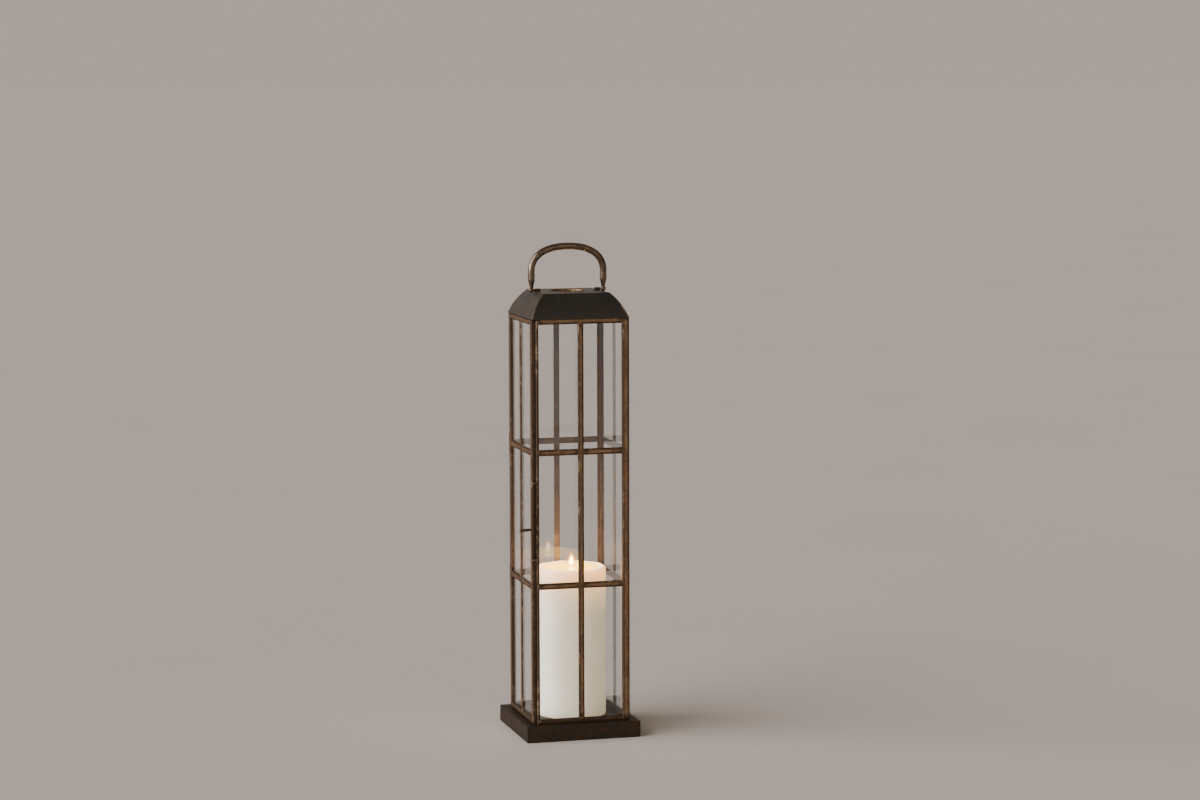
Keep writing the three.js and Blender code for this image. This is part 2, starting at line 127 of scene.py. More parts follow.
WELD = 0.002
SHARP = math.radians(25)
EDGE_SAMPLE = 1.0  # how far apart the points that stand for a sharp edge lie
FAR_FROM_EDGE = 6.0
CROWN_REACH = 3.0  # how far in from its edges a strip rises
SKIN = 1.2  # how deep the handled outside of the body goes; deeper than this, the metal gets painted shade
INNER_SHADE_DISTANCE = 0.75  # the distance from an edge given to metal inside the body, which paints it dark: painted shade, as well as the patina of metal that was never handled
LUMP_RINGS = 6
LUMP_SIDES = 22
LUMP_SINK = 0.6
CORNER_BEAD = 0.75
# How ragged the bands are in which the patina gives way at an edge, and in which the metal turns darker
# towards the foot.
RAGGED_EDGE = 1.4
RAGGED_FOOT = 8
# How much duller a patina is than bare metal when it is seen along the surface.
GRAZING_TINT = (0.62, 0.58, 0.55)
COAT_ROUGHNESS = 0.22

# ---- Camera and light, in metres and degrees ----

CAMERA_AIM = Vector((0.0395, -0.0108, 0.4307))
CAMERA_DISTANCE = 4.1877
CAMERA_AZIMUTH = -15.218
CAMERA_ELEVATION = 6.312
CAMERA_ROLL = -0.156
CAMERA_LENS = 97.42

FLOOR_RADIUS = 60
# The key light stands for a large window to the left: its direction, spread, power and colour.
KEY_FROM = Vector((-0.93, -0.15, 0.33))
KEY_SPREAD = 70
KEY_POWER = 6.4
KEY_COLOUR = (0.97, 0.96, 1.0)
# The light from the room in front of the lantern, the wall behind it, the dim end to the right and the
# ceiling, and the plain surround that is seen.
ROOM_COLOUR = (0.86, 0.75, 0.58)
WALL_COLOUR = (0.50, 0.43, 0.37)
DIM_COLOUR = (0.16, 0.13, 0.10)
CEILING_COLOUR = (0.26, 0.23, 0.20)
BACKDROP = (0.487, 0.416, 0.367)
FLAME_POWER = 1.5
FLAME_COLOUR = (1.0, 0.52, 0.2)
STRAW = (1.0, 0.80, 0.40)
GOLD = (1.0, 0.62, 0.14)
AMBER = (1.0, 0.42, 0.05)


# ---- Meshes ----


def cad_form(node):
    """A CAD node's mesh in millimetres, with its triangles joined into whole faces."""
    form = bmesh.new()
    form.from_mesh(frame["nodes"][node].data)
    bmesh.ops.scale(form, vec=Vector((1, 1, 1)) / MM, verts=form.verts)
    bmesh.ops.remove_doubles(form, verts=form.verts, dist=WELD)
    bmesh.ops.dissolve_limit(form, angle_limit=math.radians(1), verts=form.verts, edges=form.edges)
    return form


def extents(form):
    lows = [min(v.co[axis] for v in form.verts) for axis in range(3)]
    highs = [max(v.co[axis] for v in form.verts) for axis in range(3)]
    return Vector(lows), Vector(highs)


def sharp_edges(form):
    return [e for e in form.edges if e.is_manifold and e.calc_face_angle() > SHARP]


def edge_points(form):
    """Points along the sharp outward edges of a form, for measuring how far the rest lies from them."""
    points = []
    for edge in sharp_edges(form):
        if not edge.is_convex:
            continue
        first, last = (vert.co.copy() for vert in edge.verts)
        count = math.ceil((last - first).length / EDGE_SAMPLE)
        points += [first.lerp(last, i / count) for i in range(count + 1)]
    return points


def mark_edges(form, points):
    """Writes each vertex's distance from the nearest sharp edge, which the metals darken and wear by."""
    layer = form.verts.layers.float.new("from_edge")
    if not points:
        for vert in form.verts:
            vert[layer] = FAR_FROM_EDGE
        return layer
    tree = kdtree.KDTree(len(points))
    for i, point in enumerate(points):
        tree.insert(point, i)
    tree.balance()
    for vert in form.verts:
        vert[layer] = min(tree.find(vert.co)[2], FAR_FROM_EDGE)
    return layer


def soften_edges(form, width, segments=2):
    bmesh.ops.bevel(
        form,
        geom=sharp_edges(form),
        offset=width,
        offset_type="OFFSET",
        segments=segments,
        profile=0.5,
        affect="EDGES",
        clamp_overlap=True,
    )


def slice_form(form, steps):
    """Cuts a form into a lattice, so that it can be bent a little and its edges marked."""
    low, high = extents(form)
    for axis, step in enumerate(steps):
        if not step:
            continue
        normal = Vector([float(axis == i) for i in range(3)])
        count = math.ceil((high[axis] - low[axis]) / step)
        for i in range(1, count):
            at = normal * (low[axis] + (high[axis] - low[axis]) * i / count)
            everything = form.verts[:] + form.edges[:] + form.faces[:]
            bmesh.ops.bisect_plane(form, geom=everything, dist=WELD, plane_co=at, plane_no=normal)


def wobble(form, amplitude, size):
    """Moves a surface in and out by a smooth noise, as in sheet and strip worked by hand."""
    form.normal_update()
    for vert in form.verts:
        vert.co += vert.normal * amplitude * noise.noise(vert.co / size)


def paint_inner_shade(form, layer):
    """Marks what lies behind the body's outer faces as close to an edge, which paints it dark: painted shade
    in the door's notch and on the faces inside the body, as well as the darker patina of metal that was never
    handled.
    """
    for vert in form.verts:
        if max(abs(vert.co.x), abs(vert.co.y)) < BODY_HALF - SKIN:
            vert[layer] = min(vert[layer], INNER_SHADE_DISTANCE)


def crown(form, layer, rise):
    """Raises the middle of each strip on the outside of the body."""
    form.normal_update()
    for vert in form.verts:
        if max(abs(vert.co.x), abs(vert.co.y)) < BODY_HALF - WELD:
            continue
        slack = 1 - min(vert[layer] / CROWN_REACH, 1)
        vert.co += vert.normal * rise * (1 - slack * slack)


def skin(form, rings, closed=False):
    """Joins rings of vertices into a surface. A ring of one vertex is a pole. closed joins last to first."""
    pairs = list(zip(rings, rings[1:]))
    if closed:
        pairs.append((rings[-1], rings[0]))
    for lower, upper in pairs:
        sides = max(len(lower), len(upper))
        for i in range(sides):
            j = (i + 1) % sides
            if len(lower) == 1:
                form.faces.new((lower[0], upper[j], upper[i]))
            elif len(upper) == 1:
                form.faces.new((lower[i], lower[j], upper[0]))
            else:
                form.faces.new((lower[i], lower[j], upper[j], upper[i]))


def add_lathe(form, profile, centre, sides, axis=UP):
    """Turns [radius, height] points about an axis through centre. The profile starts and ends on the axis."""
    turn = UP.rotation_difference(axis)
    rings = []
    for radius, height in profile:
        if radius < WELD:
            rings.append([form.verts.new(centre + turn @ Vector((0, 0, height)))])
            continue
        angles = [2 * math.pi * i / sides for i in range(sides)]
        points = [Vector((radius * math.cos(a), radius * math.sin(a), height)) for a in angles]
        rings.append([form.verts.new(centre + turn @ point) for point in points])
    skin(form, rings)


def add_washer(form, profile, centre, sides, axis):
    """Turns a closed [radius, height] outline about an axis through centre."""
    turn = UP.rotation_difference(axis)
    angles = [2 * math.pi * i / sides for i in range(sides)]
    rings = []
    for radius, height in profile:
        points = [Vector((radius * math.cos(a), radius * math.sin(a), height)) for a in angles]
        rings.append([form.verts.new(centre + turn @ point) for point in points])
    skin(form, rings, closed=True)


def add_tube(form, path, radius_at, sides=16):
    """A round tube along a path. radius_at gives its radius from 0 at the start to 1 at the end."""
    rings = []
    across = None
    for i, point in enumerate(path):
        tangent = (path[min(i + 1, len(path) - 1)] - path[max(i - 1, 0)]).normalized()
        across = tangent.orthogonal() if across is None else across - tangent * across.dot(tangent)
        across.normalize()
        beside = tangent.cross(across)
        radius = radius_at(i / (len(path) - 1))
        angles = [2 * math.pi * k / sides for k in range(sides)]
        rings.append([
            form.verts.new(point + (across * math.cos(a) + beside * math.sin(a)) * radius) for a in angles
        ])
    skin(form, rings)
    form.faces.new(rings[0])
    form.faces.new(rings[-1])


def add_bead(form, path, radius, unevenness, waves, seed):
    """A bead of solder along a path, thicker in some places than in others."""
    add_tube(form, path, lambda t: radius * (1 + unevenness * noise.noise(seed + UP * (t * waves))), sides=12)


def add_lump(form, centre, out, width, height, rise, seed):
    """A lump of solder that has run out over a joint, with its ragged rim sunk in the metal."""
    across = UP.cross(out).normalized()
    rings = [[form.verts.new(centre + out * rise)]]
    for ring in range(1, LUMP_RINGS + 1):
        share = ring / LUMP_RINGS
        points = []
        for i in range(LUMP_SIDES):
            angle = 2 * math.pi * i / LUMP_SIDES
            heading = Vector((math.cos(angle), math.sin(angle), 0))
            reach = share * (1 + 0.35 * noise.noise(heading * 1.4 + seed))
            swell = 1 + 0.5 * noise.noise(heading * share * 2.2 - seed)
            depth = rise * swell * (1 - share * share) ** 0.8 - LUMP_SINK * share**6
            flat = across * (heading.x * reach * width / 2) + UP * (heading.y * reach * height / 2)
            points.append(form.verts.new(centre + flat + out * depth))
        rings.append(points)
    skin(form, rings)
    form.faces.new(rings[-1])


def add_piece(form, name, body, material, stands_for=()):
    """Makes a piece from a form, riding on a body and hiding the CAD nodes that it stands for."""
    if "from_edge" not in form.verts.layers.float:
        mark_edges(form, [])
    bmesh.ops.recalc_face_normals(form, faces=form.faces)
    bmesh.ops.scale(form, vec=Vector((MM, MM, MM)), verts=form.verts)
    mesh = bpy.data.meshes.new(name)
    form.to_mesh(mesh)
    form.free()
    mesh.materials.append(material)
    mesh.shade_smooth()
    piece = bpy.data.objects.new(name, mesh)
    bpy.context.scene.collection.objects.link(piece)
    piece.modifiers.new("Even shading", "WEIGHTED_NORMAL")
    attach(piece, body)
    if stands_for:
        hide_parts(*stands_for)
    return piece


def rework(node, material, slot, softness, steps=(0, 0, 0), unevenness=0.0, size=20.0, rise=0.0):
    """A fine copy of a CAD node with soft, marked and slightly uneven edges, which stands for it."""
    form = cad_form(node)
    points = edge_points(form)
    soften_edges(form, softness)
    slice_form(form, steps)
    layer = mark_edges(form, points)
    if rise:
        # Painted shade: the metal inside the body is darkened as if it lay next to an edge.
        paint_inner_shade(form, layer)
        crown(form, layer, rise)
    if unevenness:
        wobble(form, unevenness, size)
    return add_piece(form, node + "_fine", BODY_OF[node], material, [node])


# ---- Materials ----


class Paint:
    """A node material being put together. Sizes are in millimetres."""

    def __init__(self, name):
        self.material = bpy.data.materials.new(name)
        self.material.use_nodes = True
        self.tree = self.material.node_tree
        self.tree.nodes.clear()
        self.place = self.node("TexCoord").outputs["Object"]

    def node(self, kind, inputs=None, **settings):
        made = self.tree.nodes.new("ShaderNode" + kind)
        for name, value in settings.items():
            setattr(made, name, value)
        for name, value in (inputs or {}).items():
            self.feed(made.inputs[name], value)
        return made

    def feed(self, socket, value):
        if isinstance(value, bpy.types.NodeSocket):
            self.tree.links.new(value, socket)
        else:
            socket.default_value = value

    def noise(self, size, detail=3.0, roughness=0.55, distortion=0.0, stretch=(1, 1, 1)):
        place = self.place
        if stretch != (1, 1, 1):
            place = self.node("Mapping", {"Vector": place, "Scale": stretch}).outputs[0]
        inputs = {
            "Vector": place,
            "Scale": 1 / (size * MM),
            "Detail": detail,
            "Roughness": roughness,
            "Distortion": distortion,
        }
        return self.node("TexNoise", inputs).outputs[0]

    def attribute(self, name):
        return self.node("Attribute", attribute_name=name).outputs["Fac"]

    def height(self):
        """Height above the ground, in millimetres."""
        z = self.node("SeparateXYZ", {0: self.place}).outputs["Z"]
        return self.math("MULTIPLY", z, 1 / MM)

    def ramp(self, value, low, high, at_low=0.0, at_high=1.0):
        inputs = {"Value": value, "From Min": low, "From Max": high, "To Min": at_low, "To Max": at_high}
        return self.node("MapRange", inputs, interpolation_type="SMOOTHSTEP").outputs[0]

    def math(self, operation, first, second=0.0):
        return self.node("Math", {0: first, 1: second}, operation=operation).outputs[0]

    def mix(self, share, first, second):
        made = self.node("Mix", data_type="RGBA")
        for socket, value in zip((made.inputs[0], made.inputs[6], made.inputs[7]), (share, first, second)):
            self.feed(socket, (*value, 1) if isinstance(value, tuple) else value)
        return made.outputs[2]

    def bump(self, height, depth, strength=1.0, under=None):
        inputs = {"Height": height, "Distance": depth * MM, "Strength": strength}
        if under is not None:
            inputs["Normal"] = under
        return self.node("Bump", inputs).outputs[0]

    def finish(self, shader):
        output = self.node("OutputMaterial")
        self.feed(output.inputs["Surface"], shader)
        return self.material


def patina_metal(
    name,
    dark,
    plain,
    stain,
    worn,
    gloss,
    bare,
    least=0.35,
    edge_band=None,
    foot_darkening=None,
    grain=0.05,
    tint=GRAZING_TINT,
    wax_coat=0.0,
):
    """Metal under an old patina: dark where it is sheltered, which on the faces inside the body is painted
    shade, plain or stained where it is handled, and worn bright on its edges.

    gloss is the roughness of patina and of plain metal, and bare is how metallic each is. least is how much
    plain metal shows where the patina is thickest. edge_band is how far from an edge the patina gives way,
    and foot_darkening is the heights between which the metal turns darker towards the foot. grain is how
    deep the finest specks are. tint is the colour of a glancing reflection, and wax_coat is how much of a
    clear waxed film lies over it all.
    """
    paint = Paint(name)
    from_edge = paint.attribute("from_edge")
    clouds = paint.noise(24, detail=4, distortion=0.4)
    patches = paint.noise(6, detail=4, roughness=0.6)
    specks = paint.noise(0.7, detail=2)
    streaks = paint.noise(3.2, detail=3, distortion=0.8)
    blend = paint.math("ADD", paint.math("MULTIPLY", clouds, 0.5), paint.math("MULTIPLY", streaks, 0.5))
    tone = paint.ramp(blend, 0.36, 0.58, least)
    if edge_band:
        ragged = paint.math("ADD", from_edge, paint.math("MULTIPLY", patches, RAGGED_EDGE))
        start, end = (distance + RAGGED_EDGE / 2 for distance in edge_band)
        tone = paint.math("MULTIPLY", tone, paint.ramp(ragged, start, end))
    # Darker towards the foot, below the given heights.
    if foot_darkening:
        footward = paint.math("ADD", paint.height(), paint.math("MULTIPLY", patches, RAGGED_FOOT))
        start, end = (height + RAGGED_FOOT / 2 for height in foot_darkening)
        tone = paint.math("MULTIPLY", tone, paint.ramp(footward, start, end))
    rub = paint.math("MULTIPLY", paint.ramp(from_edge, 0.45, 0.1), paint.ramp(patches, 0.45, 0.75))
    plain = paint.mix(paint.ramp(paint.noise(11, detail=3, distortion=1.0), 0.42, 0.62), plain, stain)
    colour = paint.mix(rub, paint.mix(tone, dark, plain), worn)
    colour = paint.mix(paint.ramp(specks, 0.62, 0.8, 0.0, 0.35), colour, dark)
    rough = paint.math("ADD", paint.ramp(tone, 0, 1, *gloss), paint.ramp(specks, 0.3, 0.8, -0.04, 0.1))
    metallic = paint.ramp(paint.math("MAXIMUM", tone, rub), 0, 1, *bare)
    relief = paint.bump(patches, 0.35, 0.35, paint.bump(specks, grain, 0.5))
    inputs = {
        "Base Color": colour,
        "Roughness": rough,
        "Metallic": metallic,
        "Normal": relief,
        "Specular Tint": (*tint, 1),
        "Coat Weight": wax_coat,
        "Coat Roughness": COAT_ROUGHNESS,
    }
    return paint.finish(paint.node("BsdfPrincipled", inputs).outputs[0])


def glass():
    """Old window glass: clear and faintly wavy, with a thin film in places. Lamps shine straight through."""
    paint = Paint("pane_glass")
    waves = paint.bump(paint.noise(38, detail=1, stretch=(1, 1, 0.45)), 1.1, 0.16)
    film = paint.ramp(paint.noise(17, detail=3, distortion=0.6), 0.5, 0.75)
    inputs = {
        "Base Color": paint.mix(film, (0.994, 0.999, 0.994), (0.975, 0.982, 0.970)),
        "Roughness": paint.math("MULTIPLY", film, 0.02),
        "IOR": 1.5,
        "Specular IOR Level": 0.42,
        "Transmission Weight": 1.0,
        "Normal": waves,
    }
    clear = paint.node("BsdfPrincipled", inputs).outputs[0]
    through = paint.node("BsdfTransparent", {"Color": (0.95, 0.96, 0.95, 1)}).outputs[0]
    shadow = paint.node("LightPath").outputs["Is Shadow Ray"]
    return paint.finish(paint.node("MixShader", {0: shadow, 1: clear, 2: through}).outputs[0])


def wax():
    """Ivory wax, smooth and slightly mottled, with a painted glow: a faint warm emission all over that grows
    strong towards the flame, standing in for the flame's light inside the wax.
    """
    paint = Paint("candle_wax")
    clouds = paint.noise(30, detail=3)
    grain = paint.noise(1.6, detail=3)
    colour = paint.mix(paint.ramp(clouds, 0.35, 0.65), (0.83, 0.77, 0.68), (0.87, 0.82, 0.74))
    # Painted glow: a warm emission that stands in for the flame's light inside the wax, strong near the top
    # and faint all over.
    near = paint.ramp(paint.height(), 130, 225)
    glow = paint.math("MULTIPLY", paint.math("MULTIPLY", near, near), 1.9)
    tint = paint.mix(near, (1.0, 0.80, 0.40), (1.0, 0.40, 0.06))
    painted_glow_strength = paint.math("ADD", glow, 0.33)
    inputs = {
        "Base Color": colour,
        "Roughness": paint.ramp(grain, 0.3, 0.7, 0.42, 0.58),
        "Subsurface Weight": 1.0,
        "Subsurface Radius": (1.0, 0.62, 0.38),
        "Subsurface Scale": 12 * MM,
        "Emission Color": tint,
        "Emission Strength": painted_glow_strength,
        "Normal": paint.bump(clouds, 0.6, 0.25, paint.bump(grain, 0.08, 0.4)),
    }
    return paint.finish(paint.node("BsdfPrincipled", inputs).outputs[0])


def molten_wax():
    """The clear yellow wax round the wick, lit through by the flame, which is painted as emission."""
    paint = Paint("molten_wax")
    clouds = paint.noise(18, detail=2)
    inputs = {
        "Base Color": paint.mix(clouds, (0.83, 0.57, 0.17), (0.88, 0.66, 0.26)),
        "Roughness": paint.ramp(clouds, 0.3, 0.7, 0.06, 0.12),
        "Subsurface Weight": 1.0,
        "Subsurface Radius": (1.0, 0.7, 0.4),
        "Subsurface Scale": 8 * MM,
        # The emission is painted light: the flame's light shining through the pool.
        "Emission Color": (1.0, 0.66, 0.05, 1),
        "Emission Strength": paint.ramp(clouds, 0.2, 0.8, 1.3, 2.0),
        "Normal": paint.bump(clouds, 0.4, 0.2),
    }
    return paint.finish(paint.node("BsdfPrincipled", inputs).outputs[0])


def charred_wick():
    """Cotton, charred black above and waxy below, with an ember at its tip."""
    paint = Paint("charred_wick")
    strands = paint.noise(0.5, detail=2, stretch=(1, 1, 0.3))
    char = paint.ramp(paint.height(), 213, 215.5)
    colour = paint.mix(char, (0.45, 0.36, 0.24), (0.02, 0.016, 0.014))
    inputs = {
        "Base Color": paint.mix(paint.ramp(strands, 0.4, 0.7, 0.0, 0.5), colour, (0.06, 0.045, 0.035)),
        "Roughness": paint.ramp(strands, 0.2, 0.8, 0.8, 1.0),
        "Emission Color": (1.0, 0.25, 0.05, 1),
        "Emission Strength": paint.ramp(paint.height(), 217.4, 218.6, 0.0, 2.5),
        "Normal": paint.bump(strands, 0.2, 0.8),
    }
    return paint.finish(paint.node("BsdfPrincipled", inputs).outputs[0])


def fire(name, foot, heart, tip, strength, cover):
    """One layer of the flame. Its colour runs from foot to heart to tip, and cover is how much it hides."""
    paint = Paint(name)
    height = paint.height()
    flicker = paint.math("ADD", height, paint.math("MULTIPLY", paint.noise(5, detail=1), 1.5))
    low = paint.mix(paint.ramp(flicker, FLAME_BOTTOM, FLAME_BOTTOM + 4.5), foot, heart)
    colour = paint.mix(paint.ramp(flicker, FLAME_TOP - 7, FLAME_TOP + 1), low, tip)
    shine = paint.node("Emission", {"Color": colour, "Strength": strength}).outputs[0]
    clear = paint.node("BsdfTransparent").outputs[0]
    return paint.finish(paint.node("MixShader", {0: cover, 1: clear, 2: shine}).outputs[0])


def floor_material():
    """A pale matt floor, slightly mottled."""
    paint = Paint("pale_floor")
    clouds = paint.noise(420, detail=3)
    inputs = {
        "Base Color": paint.mix(clouds, (0.45, 0.40, 0.365), (0.47, 0.42, 0.385)),
        "Roughness": paint.ramp(clouds, 0.3, 0.7, 0.80, 0.86),
        "Specular IOR Level": 0.15,
        "Normal": paint.bump(paint.noise(2.5, detail=3), 0.15, 0.2),
    }
    return paint.finish(paint.node("BsdfPrincipled", inputs).outputs[0])


AGED_BRASS = patina_metal(
    "aged_brass",
    dark=(0.046, 0.027, 0.016),
    plain=(0.270, 0.178, 0.102),
    stain=(0.255, 0.135, 0.076),
    worn=(0.34, 0.245, 0.15),
    gloss=(0.56, 0.38),
    bare=(0.6, 0.95),
    edge_band=(0.5, 1.7),
    foot_darkening=(23, 30),
)
DARK_METAL = patina_metal(
    "dark_metal",
    dark=(0.016, 0.012, 0.009),
    plain=(0.040, 0.033, 0.025),
    stain=(0.062, 0.036, 0.021),
    worn=(0.16, 0.12, 0.085),
    gloss=(0.60, 0.42),
    bare=(0.4, 0.8),
)
ROOF_METAL = patina_metal(
    "roof_metal",
    dark=(0.017, 0.015, 0.013),
    plain=(0.043, 0.040, 0.035),
    stain=(0.055, 0.043, 0.032),
    worn=(0.16, 0.135, 0.11),
    gloss=(0.54, 0.38),
    bare=(0.4, 0.8),
    least=0.15,
    tint=(1.0, 0.97, 0.96),
)
HANDLE_BRASS = patina_metal(
    "handle_brass",
    dark=(0.026, 0.018, 0.012),
    plain=(0.150, 0.110, 0.066),
    stain=(0.150, 0.082, 0.042),
    worn=(0.44, 0.37, 0.27),
    gloss=(0.34, 0.20),
    bare=(0.8, 1.0),
    least=0.0,
    wax_coat=0.8,
)
LATCH_WIRE = patina_metal(
    "latch_wire",
    dark=(0.030, 0.021, 0.015),
    plain=(0.125, 0.090, 0.062),
    stain=(0.115, 0.070, 0.042),
    worn=(0.30, 0.22, 0.14),
    gloss=(0.36, 0.22),
    bare=(0.7, 0.95),
)
SOLDER = patina_metal(
    "old_solder",
    dark=(0.050, 0.033, 0.021),
    plain=(0.145, 0.095, 0.060),
    stain=(0.150, 0.085, 0.048),
    worn=(0.34, 0.26, 0.18),
    gloss=(0.50, 0.30),
    bare=(0.5, 0.9),
    grain=0.12,
)
PANE_GLASS = glass()
CANDLE_WAX = wax()
MOLTEN_WAX = molten_wax()
CHARRED_WICK = charred_wick()


# ---- Body: posts, rails, bars, mullions and panes ----

FACES = ("front", "right", "back", "door")


def make_strips():
    fine = {"softness": 0.3, "unevenness": 0.12, "size": 22, "rise": 0.3}
    upright = (1.5, 1.5, 9)
    for node in ("post_front_left", "post_front_right", "post_back_left", "post_back_right"):
        rework(node, AGED_BRASS, "aged_brass", steps=upright, **fine)
    for node in ("door_front_stile", "door_back_stile"):
        rework(node, AGED_BRASS, "aged_brass", steps=upright, **fine)
    for face in FACES:
        along = (9, 1.5, 1.5) if face in ("front", "back") else (1.5, 9, 1.5)
        for part in ("bottom_rail", "top_rail", "lower_bar", "upper_bar"):
            rework(f"{face}_{part}", AGED_BRASS, "aged_brass", steps=along, **fine)
        rework(f"{face}_mullion", AGED_BRASS, "aged_brass", steps=upright, **fine)


def make_panes():
    for face in FACES:
        rework(f"{face}_glass", PANE_GLASS, "pane_glass", softness=0.3, steps=(20, 20, 20))


def face_axes(face):
    """The direction out of a face, and the direction to the right along it."""
    out = {"front": (0, -1, 0), "right": (1, 0, 0), "back": (0, 1, 0), "door": (-1, 0, 0)}[face]
    return Vector(out), UP.cross(Vector(out))


def make_solder():
    """Lumps of solder wherever two strips of a face meet."""
    for index, face in enumerate(FACES):
        out, beside = face_axes(face)
        form = bmesh.new()
        edge = BODY_HALF - POST_WIDTH - (DOOR_INSET if face == "door" else 0)
        low, high = BODY_BOTTOM + RAIL_HEIGHT, BODY_TOP - RAIL_HEIGHT
        places = [(0, z, 12, 9.5, 0.75) for z in BAR_Z]
        places += [(side * edge, z, 5, 7.5, 0.55) for z in BAR_Z for side in (-1, 1)]
        places += [(0, low, 7.5, 4.5, 0.45), (0, high, 7.5, 4.5, 0.45)]
        places += [(side * edge, z, 4.5, 6, 0.45) for z in (low - 3, high + 3) for side in (-1, 1)]
        for number, (x, z, width, height, rise) in enumerate(places):
            seed = Vector((index * 3.1, number * 1.7, 0.4))
            centre = out * BODY_HALF + beside * (x + noise.noise(seed) * 1.2) + UP * z
            add_lump(form, centre, out, width, height, rise, seed)
        body = "door" if face == "door" else "lantern"
        add_piece(form, face + "_solder", body, SOLDER)


# ---- Hinges, latch ----


def make_hinges():
    for place in ("upper", "lower"):
        for part in ("post_leaf", "door_leaf", "pin"):
            rework(f"hinge_{place}_{part}", AGED_BRASS, "aged_brass", softness=0.12, steps=(2, 2, 4))


def latch_profile():
    """The rod's [radius, height] outline: a thin lower part, a thicker grip, and a journal in each eye."""
    low, high = span("latch_rod")
    lower_eye = span("latch_eye_lower")[1].z
    upper_eye = span("latch_eye_upper")[0].z
    return [
        (0, low.z),
        (0.9, low.z + 0.1),
        (LATCH_JOURNAL, low.z + 0.7),
        (LATCH_JOURNAL, lower_eye + 0.8),
        (LATCH_ROD, lower_eye + 2),
        (LATCH_ROD, LEVER_Z - 5),
        (LATCH_ROD + 0.15, LEVER_Z - 3.6),
        (LATCH_GRIP, LEVER_Z - 2.2),
        (LATCH_GRIP, upper_eye - 2.4),
        (LATCH_GRIP - 0.2, upper_eye - 1.4),
        (LATCH_JOURNAL, upper_eye - 0.6),
        (LATCH_JOURNAL, high.z - 0.8),
        (0.9, high.z - 0.1),
        (0, high.z),
    ]


def lever_radius(share):
    """The lever thickens towards its rounded tip."""
    return LEVER_RADIUS * (0.86 + 0.14 * share) * min(1, math.sqrt((1.03 - share) / 0.08))


def make_latch():
    corner = span("latch_eye_upper")[0]
    axis = Vector((corner.x + LATCH_EYE, corner.y + LATCH_EYE, 0))
    form = bmesh.new()
    add_lathe(form, latch_profile(), axis, sides=28)
    steps = 18
    path = []
    for i in range(steps + 1):
        share = i / steps
        drop = LEVER_DROOP * share * share
        path.append(axis + Vector((-LEVER_REACH * share, 0, LEVER_Z - drop)))
    add_tube(form, path, lever_radius, sides=22)
    wobble(form, 0.07, 6)
    add_piece(form, "latch_rod_fine", "latch", LATCH_WIRE, ["latch_rod"])
    fine = {"softness": 0.25, "steps": (2, 2, 2), "unevenness": 0.05, "size": 4}
    for place in ("upper", "lower"):
        rework(f"latch_eye_{place}", AGED_BRASS, "aged_brass", **fine)


# ---- Roof ----


def roof_arc():
    """The centre of the roof's arc, outward and upward, its radius, and its first and last angle."""
    eave = math.radians(90 - EAVE_ANGLE)
    crest = math.radians(90 - CREST_ANGLE)
    radius = (BODY_HALF - TOP_HALF) / (math.cos(eave) - math.cos(crest))
    top = span("roof_front")[1].z
    centre_z = top - radius * math.sin(crest)
    eave = math.asin((BODY_TOP - centre_z) / radius)
    return BODY_HALF - radius * math.cos(eave), centre_z, radius, eave, crest


def roof_point(share, depth=0.0):
    """How far out and how high the roof is at a share of the way from the eave to the flat top, and at a
    depth below its surface."""
    centre_out, centre_z, radius, eave, crest = roof_arc()
    angle = eave + (crest - eave) * share
    return centre_out + (radius - depth) * math.cos(angle), centre_z + (radius - depth) * math.sin(angle)


def border(grid):
    """The vertices round the rim of a grid, in order."""
    right = [row[-1] for row in grid[1:]]
    left = [row[0] for row in grid[-2:0:-1]]
    return grid[0] + right + grid[-1][-2::-1] + left


def panel_form(turn):
    """One curved panel, mitred at both hips."""
    columns, rows = 36, 22
    spin = Quaternion(UP, turn)
    form = bmesh.new()
    grids = []
    for depth in (0.0, ROOF_SHEET):
        grid = []
        for row in range(rows + 1):
            out, z = roof_point(row / rows, depth)
            z = max(z, BODY_TOP) if row else BODY_TOP
            half = out - ROOF_SEAM
            xs = [half * (2 * column / columns - 1) for column in range(columns + 1)]
            grid.append([form.verts.new(spin @ Vector((x, -out, z))) for x in xs])
        grids.append(grid)
    for grid in grids:
        for lower, upper in zip(grid, grid[1:]):
            for i in range(columns):
                form.faces.new((lower[i], lower[i + 1], upper[i + 1], upper[i]))
    skin(form, [border(grid) for grid in grids])
    bmesh.ops.recalc_face_normals(form, faces=form.faces)
    return form


def make_roof():
    for i, side in enumerate(("front", "right", "back", "left")):
        form = panel_form(i * math.pi / 2)
        points = edge_points(form)
        soften_edges(form, 0.25)
        mark_edges(form, points)
        wobble(form, 0.28, 24)
        add_piece(form, f"roof_{side}_fine", "lantern", ROOF_METAL, [f"roof_{side}"])
    make_hip_seams()
    make_top_plate()
    make_vent_collar()
    rework("eave_frame", DARK_METAL, "dark_metal", softness=0.2, steps=(8, 8, 0))


def make_hip_seams():
    """A bead of solder down each hip, and one along each edge of the flat top, where it closes the gap."""
    form = bmesh.new()
    steps = 44
    top = span("roof_top_plate")[1].z
    crest = TOP_HALF - CREST_BEAD
    for i in range(4):
        spin = Quaternion(UP, i * math.pi / 2)
        hip, edge = [], []
        for step in range(steps + 1):
            out, z = roof_point(step / steps, HIP_BEAD_DEPTH)
            hip.append(spin @ Vector((out, -out, z)))
            edge.append(spin @ Vector((crest * (2 * step / steps - 1), -crest, top - CREST_BEAD)))
        seed = Vector((i * 2.3, 0.7, 0.2))
        add_bead(form, hip, HIP_BEAD, 0.3, 9, seed)
        add_bead(form, edge, 1.08 * CREST_BEAD, 0.093, 9, seed + Vector((5, 0, 0)))
    add_piece(form, "roof_hip_seams", "lantern", SOLDER)


